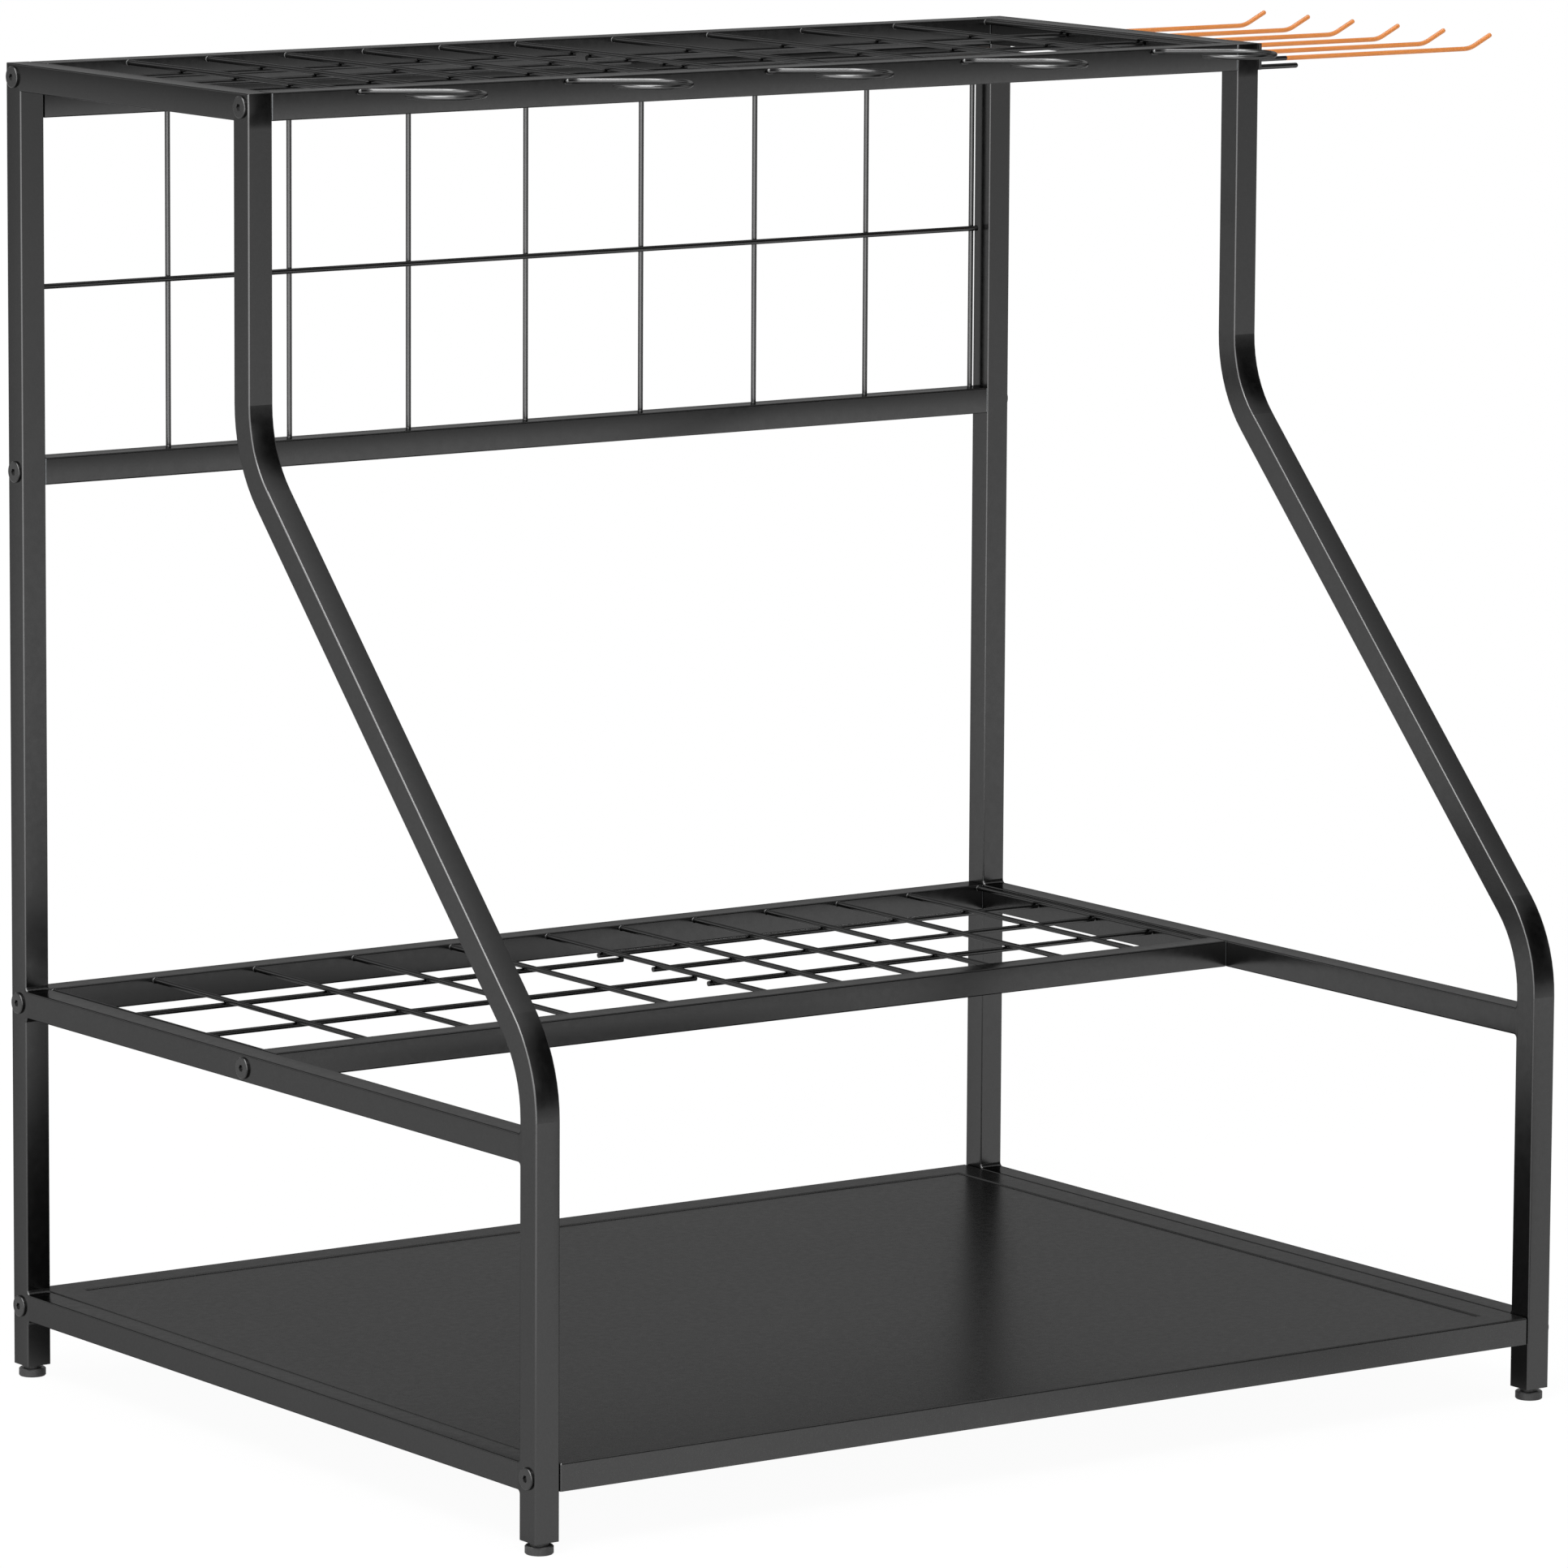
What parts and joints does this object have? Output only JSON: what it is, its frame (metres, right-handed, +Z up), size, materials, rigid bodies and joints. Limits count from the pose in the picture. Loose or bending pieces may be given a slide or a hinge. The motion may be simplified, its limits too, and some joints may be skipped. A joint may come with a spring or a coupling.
{
  "type": "garden tool rack",
  "caption": "Free-standing black steel tool rack with bent front posts, wire grids, a bottom shelf, ring hooks and a row of orange-sleeved side hooks.",
  "frame": {"origin": "floor level under the middle of the bounding box, which includes the side hooks", "axes": "+X to the right side with the hooks, -Y to the front, +Z up"},
  "size_m": [1.2233, 0.7444, 1.0412],
  "materials": {
    "powder_coat": "fine-grained satin powder coat",
    "orange_sleeve": "satin dipped vinyl",
    "bolt_black": "black plated, semi-gloss",
    "zinc_steel": "zinc plated",
    "foot_plastic": "moulded satin"
  },
  "bodies": {
    "rack": {"left_rear_post": "powder_coat", "left_front_post": "powder_coat", "left_top_rail": "powder_coat", "left_middle_rail": "powder_coat", "left_bottom_rail": "powder_coat", "right_rear_post": "powder_coat", "right_front_post": "powder_coat", "right_top_rail": "powder_coat", "right_middle_rail": "powder_coat", "right_bottom_rail": "powder_coat", "top_grid_front_rail": "powder_coat", "top_grid_rear_rail": "powder_coat", "top_grid_depth_wires": "powder_coat", "top_grid_small_cell_wires": "powder_coat", "top_grid_large_cell_wires": "powder_coat", "middle_grid_front_rail": "powder_coat", "middle_grid_rear_rail": "powder_coat", "middle_grid_depth_wires": "powder_coat", "middle_grid_small_cell_wires": "powder_coat", "middle_grid_large_cell_wires": "powder_coat", "back_panel_bottom_rail": "powder_coat", "back_panel_top_rail": "powder_coat", "back_panel_upright_wires": "powder_coat", "back_panel_cross_wire": "powder_coat", "shelf_tray": "powder_coat", "shelf_stiffener_front": "powder_coat", "shelf_stiffener_rear": "powder_coat", "ring_hook_1": "powder_coat", "ring_hook_2": "powder_coat", "ring_hook_3": "powder_coat", "ring_hook_4": "powder_coat", "ring_hook_5": "powder_coat", "hook_rail": "powder_coat", "hook_rail_peg": "powder_coat", "hook_wire_1": "powder_coat", "hook_wire_2": "powder_coat", "hook_wire_3": "powder_coat", "hook_wire_4": "powder_coat", "hook_wire_5": "powder_coat", "hook_wire_6": "powder_coat", "hook_sleeve_1": "orange_sleeve", "hook_sleeve_2": "orange_sleeve", "hook_sleeve_3": "orange_sleeve", "hook_sleeve_4": "orange_sleeve", "hook_sleeve_5": "orange_sleeve", "hook_sleeve_6": "orange_sleeve", "left_bolts": "bolt_black", "right_bolts": "bolt_black", "rail_inserts": "zinc_steel", "shelf_washers": "zinc_steel", "shelf_nuts": "zinc_steel", "foot_plugs": "foot_plastic"},
    "foot_front_left": {"foot_front_left": "foot_plastic"},
    "foot_rear_left": {"foot_rear_left": "foot_plastic"},
    "foot_front_right": {"foot_front_right": "foot_plastic"},
    "foot_rear_right": {"foot_rear_right": "foot_plastic"}
  },
  "joints": [
    {"name": "foot_front_left_level", "type": "slide", "parent": "rack", "child": "foot_front_left", "axis": [0, 0, -1], "range_m": [0, 0.01]},
    {"name": "foot_rear_left_level", "type": "slide", "parent": "rack", "child": "foot_rear_left", "axis": [0, 0, -1], "range_m": [0, 0.01]},
    {"name": "foot_front_right_level", "type": "slide", "parent": "rack", "child": "foot_front_right", "axis": [0, 0, -1], "range_m": [0, 0.01]},
    {"name": "foot_rear_right_level", "type": "slide", "parent": "rack", "child": "foot_rear_right", "axis": [0, 0, -1], "range_m": [0, 0.01]}
  ]
}
